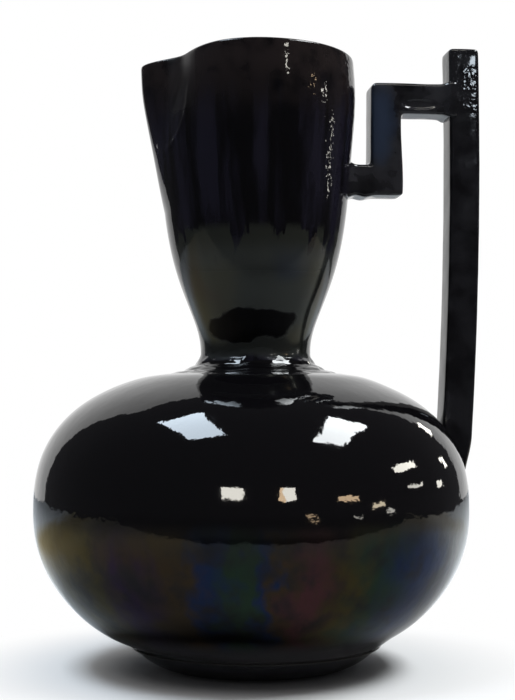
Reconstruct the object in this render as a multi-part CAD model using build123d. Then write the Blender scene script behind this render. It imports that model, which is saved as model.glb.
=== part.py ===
"""A beaked wine jug (oinochoe) in black lustre glaze, as the pieces that a potter lutes together.

The turned body stands on a tapered foot ring. A waisted neck carries a beaked spout, and an angular
handle of square clay bar steps up from the neck and comes down on the belly. Every joint is luted:
the two clay pieces stop short of each other, and a thin layer of fired slip fills the space between.

Frame: millimetres, +Z up, origin on the turning axis at the plane the foot stands on.
The handle lies towards +X and the spout towards -X.
"""

from build123d import *
import math
import os

# Foot ring
FOOT_HEIGHT = 9.7
FOOT_RADIUS = 34.8
FOOT_TOP_RADIUS = 54.8
FOOT_BORE_RADIUS = 28.0
FOOT_BORE_TOP_RADIUS = 37.0
FOOT_BULGE = 2.0
FOOT_ROUNDING = 1.4

# Turned body, measured on the outside
BOWL_BASE_RADIUS = 55.7
BOWL_HEIGHT = 59.5
BOWL_FULLNESS = 2.1
BELLY_RADIUS = 97.2
SHOULDER_HEIGHT = 64.6
SHOULDER_FULLNESS = 2.5
COLLAR_RADIUS = 36.0
COLLAR_RISE = 4.7
SEAT_RISE = 1.9
SEAT_RADIUS = 25.8
WALL = 5.5
FLOOR = 7.0

# Neck, measured on the outside
NECK_HEIGHT = 135.0
WAIST_RADIUS = 24.3
WAIST_RISE = 7.0
MOUTH_RADIUS = 44.4
MOUTH_DROP = 14.0
RIM_RADIUS = 43.6
LIP_ROUNDING = 2.0
FLARE_STATIONS = ((0.13, 0.20), (0.26, 0.48), (0.40, 0.69), (0.57, 0.83), (0.78, 0.93))

# Beaked spout: drops are measured down from the rim, spreads are angles about the axis
BEAK_REACH = 7.6
BEAK_TAIL_DROP = 68.0
BEAK_SPREAD = 15.0
BEAK_BORE_SPREAD = 12.0
BEAK_DROOP = 2.6
PINCH_DEPTH = 9.0
PINCH_DROP = 43.0
SPOUT_HALF_WIDTH = 28.5
SPOUT_CHEEK_DROP = 31.0
SPOUT_CHIN_HALF_WIDTH = 17.0
SPOUT_CHIN_DROP = 45.0
SPOUT_TAIL_HALF_WIDTH = 5.0
SPOUT_CHEEK_ROUNDING = 12.0
SPOUT_TAIL_ROUNDING = 3.5

# Handle of square bar: drops and rises are measured from the rim
BAR_WIDTH = 13.2
BAR_DEPTH = 14.4
BAR_ROUNDING = 1.9
CORNER_ROUNDING = 2.4
STUB_DROP = 59.5
BRIDGE_DROP = 21.4
DROP_BAR_GAP = 7.8
RISER_WIDTH = 14.2
RISER_RISE = 7.3
RISER_TOP_SET_IN = 2.5
RISER_TOP_ROUNDING = 1.3
RISER_BOW = 2.3
RISER_FOOT_SET_IN = 6.8
RISER_FOOT_RISE = 12.0

# Luting
LUTE = 0.8
LUTE_BEAD = 0.9
LUTE_CLEARANCE = 0.03
SEAM_TONGUE = 2.0
SEAM_TONGUE_WIDTH = 3.0

# Heights that follow from the sizes above
BOWL_BASE_Z = FOOT_HEIGHT + LUTE
FLOOR_Z = BOWL_BASE_Z + FLOOR
BELLY_Z = BOWL_BASE_Z + BOWL_HEIGHT
SEAT_Z = BELLY_Z + SHOULDER_HEIGHT + SEAT_RISE
RIM_Z = SEAT_Z + NECK_HEIGHT
HANDLE_TOP_Z = RIM_Z + RISER_RISE

# Cutting shapes reach this far past the jug
CLEAR = 20.0
REACH = BELLY_RADIUS + RISER_WIDTH + CLEAR
SKY = HANDLE_TOP_Z + CLEAR

# How finely curves are sampled, as counts, shares and angles
LINE_STATIONS = 16
HALVINGS = 24
BOWL_SHARES = (1, 0.8, 0.6, 0.4, 0.2, 0)
SHOULDER_ANGLES = (0, 14, 30, 45, 57, 66)
BEAK_ANGLES = range(-54, 55, 6)
BEAK_SHARES = (-0.15, 0, 0.13, 0.26, 0.4, 0.53, 0.66, 0.82, 1, 1.15)
DROOP_SHARES = (0, 0.35, 0.7, 1, 1.3)
LEVEL_TILT = 25.0


def at(x, z):
    """A point in the plane of the handle, where every profile is drawn."""
    return Vector(x, 0, z)


def lerp(low, high, share):
    return low + (high - low) * share


def smooth_line(points, start_slope, end_slope):
    """An even curve through points, with the way it leaves the first and reaches the last."""
    return Spline(points, tangents=[start_slope, end_slope], tangent_scalars=[1, 1])


def turn(*edges):
    """The solid that a closed profile sweeps about the jug's axis."""
    return revolve(make_face(edges), Axis.Z)


def outline(*corners):
    """The straight-sided face with these corners in the plane of the handle."""
    return make_face(Polyline([at(*corner) for corner in corners], close=True))


def slab(low, high):
    """Everything between two heights."""
    return Pos(0, 0, (low + high) / 2) * Cylinder(REACH, high - low)


def thick(face, depth):
    """A face in the plane of the handle, thickened evenly to both sides."""
    return extrude(Pos(0, depth / 2, 0) * face, depth, dir=(0, -1, 0))


# Turned profile

def oval(angle, fullness):
    """A point on a unit oval; fullness 2 is a circle, and more is squarer."""
    return math.cos(angle) ** (2 / fullness), math.sin(angle) ** (2 / fullness)


def bowl_line():
    """Lower half of the belly: a full oval from the edge of the base to the widest circle."""
    start = math.acos((BOWL_BASE_RADIUS / BELLY_RADIUS) ** (BOWL_FULLNESS / 2))
    depth = BOWL_HEIGHT / math.sin(start) ** (2 / BOWL_FULLNESS)
    points = []
    for share in BOWL_SHARES:
        across, down = oval(start * share, BOWL_FULLNESS)
        points.append(at(BELLY_RADIUS * across, BELLY_Z - depth * down))
    return smooth_line(points, points[1] - points[0], Vector(0, 0, 1))


def seat_slope():
    """The way the outside runs where the neck sits on the shoulder."""
    collar = at(COLLAR_RADIUS, SEAT_Z - COLLAR_RISE)
    waist = at(WAIST_RADIUS, SEAT_Z + WAIST_RISE)
    return waist - collar


def shoulder_line():
    """Upper half of the belly: a full oval that turns up through the collar to the neck's seat."""
    points = []
    for degrees in SHOULDER_ANGLES:
        across, up = oval(math.radians(degrees), SHOULDER_FULLNESS)
        points.append(at(BELLY_RADIUS * across, BELLY_Z + SHOULDER_HEIGHT * up))
    points.append(at(COLLAR_RADIUS, SEAT_Z - COLLAR_RISE))
    points.append(at(SEAT_RADIUS, SEAT_Z))
    return smooth_line(points, Vector(0, 0, 1), seat_slope())


def neck_line():
    """The neck's outside, from its seat through the waist to the rim."""
    waist_z = SEAT_Z + WAIST_RISE
    mouth_z = RIM_Z - MOUTH_DROP
    points = [at(SEAT_RADIUS, SEAT_Z), at(WAIST_RADIUS, waist_z)]
    for rise, flare in FLARE_STATIONS:
        points.append(at(lerp(WAIST_RADIUS, MOUTH_RADIUS, flare), lerp(waist_z, mouth_z, rise)))
    points.append(at(MOUTH_RADIUS, mouth_z))
    points.append(at(RIM_RADIUS, RIM_Z))
    rim_slope = at(RIM_RADIUS - MOUTH_RADIUS, MOUTH_DROP)
    return smooth_line(points, seat_slope(), rim_slope)


def moved_out(line, amount):
    """A profile line moved out along its own normals, or in where the amount is negative."""
    points = []
    for step in range(LINE_STATIONS):
        share = step / (LINE_STATIONS - 1)
        slope = line % share
        points.append(line @ share + Vector(slope.Z, 0, -slope.X) * amount)
    return smooth_line(points, line % 0, line % 1)


def radius_at(line, height):
    """How far a rising profile line is from the axis at a height, found by halving."""
    low = 0.0
    high = 1.0
    for _ in range(HALVINGS):
        middle = (low + high) / 2
        if (line @ middle).Z < height:
            low = middle
        else:
            high = middle
    return (line @ high).X


def vessel(amount):
    """Body and neck filled solid and run on past the rim, with the outside moved out by an amount."""
    lines = [moved_out(line, amount) for line in (bowl_line(), shoulder_line(), neck_line())]
    base = lines[0] @ 0
    rim = lines[-1] @ 1
    top = rim + (lines[-1] % 1) * CLEAR
    below = at(0, base.Z)
    above = at(0, top.Z)
    return turn(Line(below, base), *lines, Line(rim, top), Line(top, above), Line(above, below))


def clay_shell():
    """Hollow body and neck in one, with a rounded lip, before the seams part it."""
    hollow = vessel(-WALL) & slab(FLOOR_Z, SKY)
    return round_lips(vessel(0) - hollow - over_the_rim())


def above_belly_seam(lift):
    """Everything over the belly seam, whose tongue runs round the middle of the wall."""
    level = BELLY_Z + lift
    middle = BELLY_RADIUS - WALL / 2
    face = outline(
        (0, level),
        (middle - SEAM_TONGUE_WIDTH / 2, level),
        (middle, level - SEAM_TONGUE),
        (middle + SEAM_TONGUE_WIDTH / 2, level),
        (REACH, level),
        (REACH, SKY),
        (0, SKY),
    )
    return revolve(face, Axis.Z)


def foot_ring():
    """Tapered ring with a full flank, whose level lower face the jug stands on."""
    bore_low = at(FOOT_BORE_RADIUS, 0)
    low = at(FOOT_RADIUS, 0)
    high = at(FOOT_TOP_RADIUS, FOOT_HEIGHT)
    bore_high = at(FOOT_BORE_TOP_RADIUS, FOOT_HEIGHT)
    slope = (high - low).normalized()
    bulge = (low + high) / 2 + at(slope.Z, -slope.X) * FOOT_BULGE
    flank = ThreePointArc(low, bulge, high)
    ring = turn(Line(bore_low, low), flank, Line(high, bore_high), Line(bore_high, bore_low))
    standing_edges = ring.edges().filter_by(GeomType.CIRCLE).group_by(Axis.Z)[0]
    return fillet(standing_edges, FOOT_ROUNDING)


def foot_lute():
    """Slip between foot ring and bowl, out to the edge of the bowl's base."""
    ring = Cylinder(BOWL_BASE_RADIUS, LUTE) - Cylinder(FOOT_BORE_TOP_RADIUS, LUTE)
    return Pos(0, 0, FOOT_HEIGHT + LUTE / 2) * ring


# Spout

def shield(growth):
    """The stretch of the neck's front that the spout takes, grown by an amount, cut right through."""
    corners = [
        (SPOUT_HALF_WIDTH, SKY),
        (SPOUT_HALF_WIDTH, RIM_Z - SPOUT_CHEEK_DROP),
        (SPOUT_CHIN_HALF_WIDTH, RIM_Z - SPOUT_CHIN_DROP),
        (SPOUT_TAIL_HALF_WIDTH, RIM_Z - BEAK_TAIL_DROP),
    ]
    mirrored = [(-across, up) for across, up in reversed(corners)]
    face = make_face(Polyline(corners + mirrored, close=True))
    face = fillet(face.vertices().group_by(Axis.Y)[0], SPOUT_TAIL_ROUNDING)
    sides = face.vertices().group_by(Axis.X)
    cheeks = ShapeList(sides[0] + sides[-1]).group_by(Axis.Y)[0]
    face = fillet(cheeks, SPOUT_CHEEK_ROUNDING)
    front = Plane(origin=(0, 0, 0), x_dir=(0, -1, 0), z_dir=(-1, 0, 0))
    return extrude(front * offset(face, growth), REACH)


def beak_section(height, inset, spread):
    """Points round the beak at a height: the neck's circle, pinched on both sides of a rounded keel."""
    drop = RIM_Z - height
    keel = BEAK_REACH * max(0, 1 - drop / BEAK_TAIL_DROP)
    pinch = PINCH_DEPTH * max(0, 1 - drop / PINCH_DROP)
    neck_radius = radius_at(neck_line(), height)
    pinch_angle = math.degrees(math.asin(min(1, SPOUT_HALF_WIDTH / neck_radius)))
    points = []
    for angle in BEAK_ANGLES:
        hollow = pinch * max(0, 1 - (angle / pinch_angle) ** 2)
        ridge = (keel + pinch) * math.exp(-((angle / spread) ** 2))
        radius = neck_radius - inset + ridge - hollow
        across = radius * math.sin(math.radians(angle))
        ahead = radius * math.cos(math.radians(angle))
        points.append(Vector(-ahead, across, height))
    return points


def beak(inset, spread, back):
    """The beak filled solid from its rounded front to a flat back."""
    sections = []
    for share in BEAK_SHARES:
        points = beak_section(RIM_Z - share * BEAK_TAIL_DROP, inset, spread)
        first = points[0]
        last = points[-1]
        first_back = Vector(-back, first.Y, first.Z)
        last_back = Vector(-back, last.Y, last.Z)
        sides = [Line(last, last_back), Line(last_back, first_back), Line(first_back, first)]
        sections.append(make_face([Spline(points)] + sides))
    return loft(sections)


def over_the_rim():
    """Everything over the rim, which is level at the back and droops smoothly to the tip of the beak."""
    points = []
    for share in DROOP_SHARES:
        points.append(at(-(RIM_RADIUS + BEAK_REACH) * share, RIM_Z - BEAK_DROOP * share**2))
    end = points[-1]
    middle = at(0, RIM_Z)
    edges = [
        smooth_line(points, Vector(-1, 0, 0), points[-1] - points[-2]),
        Line(end, at(end.X, SKY)),
        Line(at(end.X, SKY), at(REACH, SKY)),
        Line(at(REACH, SKY), at(REACH, RIM_Z)),
        Line(at(REACH, RIM_Z), middle),
    ]
    return thick(make_face(edges), 2 * REACH)


def round_lips(wall):
    """Rounds the inner and outer edge of a wall's rim, but not the short edges across it."""
    level = wall.faces().filter_by(lambda face: face.normal_at().get_angle(Vector(0, 0, 1)) < LEVEL_TILT)
    rim = level.filter_by(lambda face: face.center().Z > RIM_Z - BEAK_DROOP)
    lips = rim.edges().filter_by(lambda edge: edge.length > SPOUT_HALF_WIDTH)
    return fillet(lips, LIP_ROUNDING)


def spout_wall():
    """The folded wall of the beak up to its rounded lip, a little wider than the spout."""
    wall = beak(0, BEAK_SPREAD, RIM_RADIUS / 2) - beak(WALL, BEAK_BORE_SPREAD, 0)
    return round_lips((wall & shield(LUTE + LIP_ROUNDING)) - over_the_rim())


# Handle

STUB_Z = RIM_Z - STUB_DROP
BRIDGE_Z = RIM_Z - BRIDGE_DROP
DROP_BAR_X = MOUTH_RADIUS + DROP_BAR_GAP


def riser_bar(growth):
    """The riser before its foot is fitted to the belly, grown sideways by an amount."""
    foot = at(BELLY_RADIUS - RISER_FOOT_SET_IN, BELLY_Z + RISER_FOOT_RISE)
    top = at(BELLY_RADIUS - RISER_TOP_SET_IN, HANDLE_TOP_Z)
    path = ThreePointArc(foot, (foot + top) / 2 + at(RISER_BOW, 0), top)
    start = Plane(foot, x_dir=(0, 1, 0), z_dir=path % 0)
    section = RectangleRounded(BAR_DEPTH + 2 * growth, RISER_WIDTH + 2 * growth, BAR_ROUNDING + growth)
    bar = sweep(start * section, path)
    return fillet(bar.faces().sort_by(Axis.Z)[-1].edges(), RISER_TOP_ROUNDING)


def hook(growth):
    """Stub, drop bar and bridge as one bent bar that runs on into neck and riser, grown by an amount."""
    riser_x = BELLY_RADIUS - RISER_TOP_SET_IN - RISER_WIDTH / 2 + BAR_ROUNDING
    face = outline(
        (WAIST_RADIUS, STUB_Z),
        (DROP_BAR_X + BAR_WIDTH, STUB_Z),
        (DROP_BAR_X + BAR_WIDTH, BRIDGE_Z),
        (riser_x, BRIDGE_Z),
        (riser_x, BRIDGE_Z + BAR_WIDTH),
        (DROP_BAR_X, BRIDGE_Z + BAR_WIDTH),
        (DROP_BAR_X, STUB_Z + BAR_WIDTH),
        (WAIST_RADIUS, STUB_Z + BAR_WIDTH),
    )
    columns = face.vertices().group_by(Axis.X)
    face = fillet(ShapeList(columns[1] + columns[2]), CORNER_ROUNDING)
    bar = thick(offset(face, growth), BAR_DEPTH + 2 * growth)
    sides = bar.faces().sort_by(Axis.Y)
    return fillet(sides[0].edges() + sides[-1].edges(), BAR_ROUNDING + growth)


def past_mitre(corner_z, shift):
    """Everything past the mitre at one end of the drop bar, from stub to bridge."""
    middle = at(DROP_BAR_X + BAR_WIDTH / 2, corner_z + BAR_WIDTH / 2)
    cut = Plane(middle, z_dir=(1, 0, 1)).offset(shift)
    return cut * Box(2 * REACH, 2 * REACH, REACH, align=(Align.CENTER, Align.CENTER, Align.MIN))


# Pieces

def body_pieces():
    """Foot, bowl, shoulder and neck with the slip between them."""
    shell = clay_shell()
    half = LUTE / 2
    past_bowl = shell & above_belly_seam(-half)
    past_belly_seam = shell & above_belly_seam(half)
    return {
        "foot_ring": foot_ring(),
        "foot_lute": foot_lute(),
        "lower_bowl": shell - above_belly_seam(-half),
        "belly_lute": past_bowl - above_belly_seam(half),
        "shoulder": past_belly_seam & slab(0, SEAT_Z - half),
        "neck_lute": shell & slab(SEAT_Z - half, SEAT_Z + half),
        "neck": (shell & slab(SEAT_Z + half, SKY)) - shield(LUTE),
    }


def spout_pieces():
    """The beak and the slip that bonds it into the neck."""
    wall = spout_wall()
    return {
        "spout": wall & shield(0),
        "spout_lute": (wall & shield(LUTE)) - shield(0),
    }


def handle_pieces():
    """The four bars, with the slip in their mitres and where they meet neck, riser and belly."""
    half = LUTE / 2
    sealed_clay = vessel(LUTE_CLEARANCE)
    coated_clay = vessel(LUTE)
    riser = riser_bar(0)
    sealed_riser = riser_bar(LUTE_CLEARANCE)
    coated_riser = riser_bar(LUTE)
    bent = hook(0) - coated_clay - coated_riser
    past_stub = bent & past_mitre(STUB_Z, -half)
    drop_and_on = bent & past_mitre(STUB_Z, half)
    past_drop = drop_and_on & past_mitre(BRIDGE_Z, -half)
    return {
        "handle_stub": bent - past_mitre(STUB_Z, -half),
        "stub_drop_lute": past_stub - past_mitre(STUB_Z, half),
        "handle_drop": drop_and_on - past_mitre(BRIDGE_Z, -half),
        "drop_bridge_lute": past_drop - past_mitre(BRIDGE_Z, half),
        "handle_bridge": past_drop & past_mitre(BRIDGE_Z, half),
        "handle_riser": riser - coated_clay,
        "stub_neck_lute": (hook(LUTE_BEAD) & coated_clay) - sealed_clay,
        "bridge_riser_lute": (hook(LUTE_BEAD) & coated_riser) - sealed_riser,
        "riser_belly_lute": (riser_bar(LUTE_BEAD) & coated_clay) - sealed_clay,
    }


pieces = body_pieces() | spout_pieces() | handle_pieces()
os.makedirs("parts", exist_ok=True)
for node, piece in pieces.items():
    export_step(piece, f"parts/{node}.step")
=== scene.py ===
"""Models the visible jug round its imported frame: turned body, beaked neck and square-bar handle, all glazed.

The file is laid out as an add-on and is run as a script. Lengths are metres, +Z is up, the spout points to -X
and the handle to +X. Every piece sits at the origin, with its place in its mesh.
"""

import math

import bpy
import numpy as np
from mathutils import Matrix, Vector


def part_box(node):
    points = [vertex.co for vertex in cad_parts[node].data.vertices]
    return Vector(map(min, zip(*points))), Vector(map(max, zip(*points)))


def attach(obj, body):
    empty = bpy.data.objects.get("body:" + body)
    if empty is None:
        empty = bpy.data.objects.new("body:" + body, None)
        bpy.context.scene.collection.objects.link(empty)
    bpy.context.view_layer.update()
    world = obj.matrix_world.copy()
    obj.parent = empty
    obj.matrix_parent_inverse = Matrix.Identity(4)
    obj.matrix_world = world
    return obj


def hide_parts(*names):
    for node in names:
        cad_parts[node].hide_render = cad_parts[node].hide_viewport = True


bl_info = {
    "name": "Beaked lustre jug",
    "version": (1, 0, 0),
    "blender": (4, 5, 0),
    "location": "View3D > Sidebar > Jug",
    "description": "Models a beaked jug in black lustre glaze, with its table, lamps and camera",
    "category": "Object",
}

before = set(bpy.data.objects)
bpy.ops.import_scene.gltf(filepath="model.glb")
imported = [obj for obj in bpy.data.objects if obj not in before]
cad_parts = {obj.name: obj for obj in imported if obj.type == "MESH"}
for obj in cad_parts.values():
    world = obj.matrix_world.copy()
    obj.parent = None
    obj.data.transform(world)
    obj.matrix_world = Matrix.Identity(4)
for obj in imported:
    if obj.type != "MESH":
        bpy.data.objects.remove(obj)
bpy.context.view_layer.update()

MM = 0.001


def mm(*values):
    """Millimetres as metres."""
    return tuple(value * MM for value in values)


# Heights, radii and places that the frame fixes
FOOT_TOP_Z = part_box("foot_ring")[1].z
BASE_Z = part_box("lower_bowl")[0].z
BASE_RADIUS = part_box("foot_lute")[1].x
BELLY_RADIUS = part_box("shoulder")[1].x
SEAT_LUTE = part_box("neck_lute")
LUTE = SEAT_LUTE[1].z - SEAT_LUTE[0].z
SEAT_Z = (SEAT_LUTE[0].z + SEAT_LUTE[1].z) / 2
BELLY_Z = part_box("belly_lute")[1].z - LUTE / 2
RIM_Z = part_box("neck")[1].z
BEAK_TIP_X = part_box("spout")[0].x
STUB_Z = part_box("handle_stub")[0].z
BRIDGE_TOP_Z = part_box("handle_bridge")[1].z
DROP_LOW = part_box("handle_drop")[0]
DROP_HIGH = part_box("handle_drop")[1]
BAR_WIDTH = DROP_HIGH.x - DROP_LOW.x
RISER_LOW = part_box("handle_riser")[0]
RISER_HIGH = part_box("handle_riser")[1]

# Stations of the profiles: shares of the bowl's angle, degrees up the shoulder, rise and growth of the flare
BOWL_SHARES = (1, 0.8, 0.6, 0.4, 0.2, 0)
SHOULDER_ANGLES = (0, 14, 30, 45, 57, 66)
FLARE_STATIONS = ((0.13, 0.20), (0.26, 0.48), (0.40, 0.69), (0.57, 0.83), (0.78, 0.93))

# How finely the profiles are drawn and turned; the inside keeps one point in so many
FLANK_POINTS = 20
EDGE_POINTS = 6
BEAD_POINTS = 9
BOWL_POINTS = 90
SHOULDER_POINTS = 220
NECK_POINTS = 170
LIP_POINTS = 8
BEAK_LINE_POINTS = 400
RIDGE_LINE_POINTS = 300
INSIDE_STEP = 3
SHOULDER_INSIDE_STEP = 4
BODY_STEPS = 192
NECK_STEPS = 360
MERGE_DISTANCE = 0.002 * MM
FLOOR_INSET = 1 * MM
# The foot's outer standing edge, as shares of the rounding: its radius, and how far in it starts
OUTER_EDGE = 0.4
OUTER_INSET = 0.3

# How the belly's lean grows over the base and ends under the neck's seat
LEAN_START = 6 * MM
LEAN_END = mm(12, 1)

# How the ridges of the collar wander: waves in a turn, metres of height, and shift
RIDGE_SWAY = ((5, 0.0006, 0.3), (9, 0.0005, 1.9), (14, 0.0005, 4.1), (23, 0.0004, 2.6))
# The crease that rings each cheek of the spout: degrees from the beak, metres under the rim
CREASE = ((41.5, -0.003), (41.5, 0.016), (41.0, 0.0245), (38.5, 0.031), (33.0, 0.037), (27.0, 0.0407),
          (22.0, 0.0423), (18.0, 0.0425), (14.0, 0.0415), (11.0, 0.0397))
# Where the pressed cheek runs out into the round neck: metres under the rim, degrees from the beak
CHEEK = ((0, 70), (0.008, 66), (0.016, 62), (0.0245, 58), (0.031, 53), (0.037, 45), (0.041, 37), (0.043, 30))
# The share of a cheek that is pressed in fully, where the crease starts, and how the rim droops
CHEEK_FULL = 0.22
CREASE_START = mm(12, 22)
DROOP_RUN = 30 * MM
DROOP_LIMIT = 1.2
# Where the ridges lie: depth under the skin, radius, height over the neck's seat, and how far they lean
RIDGE_SKIN = mm(0.5, 2)
RIDGE_RADIUS = mm(35, 46)
RIDGE_RISE = 6 * MM
RIDGE_LEAN = 0.9

# Bars of the handle
STUB_START = 5 * MM
STUB_ROOT_X = 45.5 * MM
BRIDGE_STEPS = 3
RISER_STEPS = 26
CORNER_SEGMENTS = 4
EDGE_SEGMENTS = 3
EDGE_ANGLE = math.radians(40)
HOOK_LEVELS = 4
RISER_LEVELS = 3
WAVE_SIZE = 14 * MM
# How near two places count as one, and from where on a normal counts as along an axis
NEAR = MM / 10
FACING = 0.9
# Each step of a flared end: part of its run, and part of its growth
FLARE_STEPS = ((0.55, 0.3), (0.45, 0.7), (1.3, 0.0))
DENT_EDGE = (0.2, 1.3)
DENT_DEPTH = mm(0.5, 2.5)
DRIP_DEPTH = 2 * MM
DRIP_PLACE, DRIP_WIDTH = mm(2.5, 3)
TUCK, TUCK_RUN = mm(2.6, 22)

# The lustre's colours from the spout's side over the front to the handle's side, and where the front lies
LUSTRE = ((0.0, "straw"), (0.20, "straw"), (0.26, "violet"), (0.33, "rust"), (0.36, "rust"), (0.39, "blue"),
          (0.425, "green"), (0.445, "green"), (0.466, "blue"), (0.487, "rust"), (0.519, "crimson"),
          (0.56, "rust"), (0.585, "straw"), (0.63, "green"), (0.69, "blue"), (0.75, "blue"), (0.84, "straw"),
          (1.0, "violet"))
LUSTRE_FRONT = 0.49
# The pale lustre of the neck from its cool to its warm end
PALE_LUSTRE = ((0.36, "cool"), (0.46, "haze"), (0.56, "haze"), (0.66, "warm"))

# Heights in the belly's glaze, from none to full, or from none over full to none again
LUSTRE_BAND = mm(12, 24, 64, 76)
LUSTRE_PATCHES = mm(10, 22)
LUSTRE_BRIGHT = mm(46, 20)
LUSTRE_HAZE = mm(52, 66)
# Low on the belly the ground is painted paler, as light over the band that the jug's own shadow darkens
GROUND_PALE = mm(40, 24)

# Heights and places in the neck's glaze
PLUM_TOP = mm(264, 240)
RIM_TONE = mm(232, 268)
# Painted pale reflection of the table above the neck's lustre: the top of its ragged, drip-like edge, how far
# that edge runs down, and how far the band's foot wanders; then the softness of that edge, and where the
# painted reflection starts
REFLECTION_TOP, REFLECTION_TEETH, BAND_WANDER = mm(194, 26, 9)
REFLECTION_EDGE = mm(-2, 3)
REFLECTION_FOOT = mm(166, 178)
BAND_TOP = mm(190, 172)
BAND_FOOT = mm(137, 143)
BAND_TONE = mm(150, 166)
# Painted dark reflection of the shoulder at the front of the neck's waist: its height, half height, tilt, turn
# and half width in turns
DARK_REFLECTION_Z, DARK_REFLECTION_HALF, DARK_REFLECTION_TILT = mm(152, 7.2, 1.6)
DARK_REFLECTION_TURN = 0.067
DARK_REFLECTION_HALF_TURN = 0.25
FOLD_X = mm(-44, -38, -32, -26)
FOLD_Z = mm(238, 248)
LUMPS_X = mm(2, 18)
LUMPS_Z = mm(196, 222)

# Places in the glaze of the handle and the foot
CLOUD_END_X = mm(86, 90)
# Where the glaze's blue and the sheen painted over it lie on the drop bar: middle across and up, half width
# and half height
SHEEN_X, SHEEN_Z, SHEEN_WIDE, SHEEN_TALL = mm(55, 244, 9, 20)
SPECKS_X = mm(92.5, 94.5)
SPECKS_Z = mm(250, 253, 268, 273)
SPECKS_GAP = mm(256.5, 258, 259.5, 261)
JOINT_X = mm(82, 85, 90, 94)
JOINT_Z = mm(252, 258)
WORN_Z = mm(2.5, 0.2)

# Floor, table and backdrop, in metres
FLOOR_HALF = 6.0
FLOOR_SHADOW = (0.05, 0.15)
TABLE_HALF = 1.3
TABLE_LIFT = 0.2 * MM
# Where the table's painted shade in front gives way to the floor's colour behind
TABLE_PALE_Y = (-0.12, 0.16)
LEFT_WARM_X = (-0.10, -0.26)
LEFT_WARM_Y = (-0.10, 0.15)
RIGHT_WARM_X = (0.30, 0.60)
WARM_END_Y = (0.60, 0.25)
BACKDROP_LEFT = 0.86
BACKDROP_RIGHT = 1.2
BACKDROP_TOP = 1.7

# Plain white, and the tints of the lamps
WHITE = (1, 1, 1)
CREAM = (1.0, 0.97, 0.88)
STRAW_LIGHT = (1.0, 0.86, 0.62)
AMBER = (1.0, 0.72, 0.45)
SKY = (0.80, 0.90, 1.0)
# The two soft lamps overhead: name, place across and along, size, strength and tint
SOFTBOXES = (
    ("left_softbox", (-0.57, -0.16), (0.44, 0.76), 19.0, (0.76, 0.88, 1.0)),
    ("right_softbox", (0.88, -0.30), (0.48, 0.92), 25.0, (0.94, 0.98, 1.0)),
)
# Small lamps, under the pieces that they light alone: turn, rise, width and height in degrees as the belly
# sees them, then strength and tint
SMALL_LAMPS = {
    ("lower_bowl_glazed", "shoulder_glazed"): (
        (-17, 12.5, 9.5, 8.5, 22, CREAM),
        (12.5, 12, 5.5, 8, 22, CREAM),
        (8.7, 12, 1.9, 8, 18, AMBER),
        (43.5, 6.5, 12, 2.6, 14, AMBER),
        (61, 2.2, 7, 1.8, 14, STRAW_LIGHT),
        (85, 21.5, 17, 4.5, 20, CREAM),
        (88, 9, 12, 1.6, 12, CREAM),
        (132, 25, 3.5, 7, 14, CREAM),
        (120, 13, 4, 5, 14, CREAM),
        (108, 6, 6, 2, 10, CREAM),
        (24, -2, 6, 1.4, 9, AMBER),
        (48, -1.5, 6, 1, 8, CREAM),
        (68, -0.6, 5, 1.2, 10, CREAM),
    ),
    ("handle_riser_glazed",): (
        (25, 19.6, 6, 5, 24, SKY),
    ),
    ("neck_and_spout_glazed",): (
        (29, 24, 2.4, 6, 30, CREAM),
        (63, 16, 2.6, 2.6, 30, AMBER),
        (80, 15, 2.6, 2.6, 30, CREAM),
        (93, 9, 1.8, 1.5, 20, CREAM),
        (94, 5.5, 1.8, 1.8, 20, CREAM),
    ),
    ("handle_hook_glazed", "handle_riser_glazed"): (
        (10, 58, 24, 10, 9, CREAM),
    ),
}
LAMP_DISTANCE = 2.4
LAMP_AIM = (0, -0.09, 0.08)

# Camera: millimetres of lens and sensor, and the frame's shift in pixels of a picture so many pixels tall
LENS = 70.5
SENSOR = 36.0
SHIFT_PIXELS = (2.0, 60.0)
PICTURE_TALL = 700
CLIP_START = 0.01


def length(name, millimetres, description):
    """A length property, given in millimetres and kept in metres."""
    return bpy.props.FloatProperty(name=name, description=description, default=millimetres * MM,
                                   unit="LENGTH", precision=4)


def share(name, default, description):
    """A plain number property."""
    return bpy.props.FloatProperty(name=name, description=description, default=default, subtype="FACTOR")


def colour(name, default, description):
    """A linear colour property."""
    return bpy.props.FloatVectorProperty(name=name, description=description, default=default, size=3,
                                         subtype="COLOR", min=0, max=1)


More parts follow.
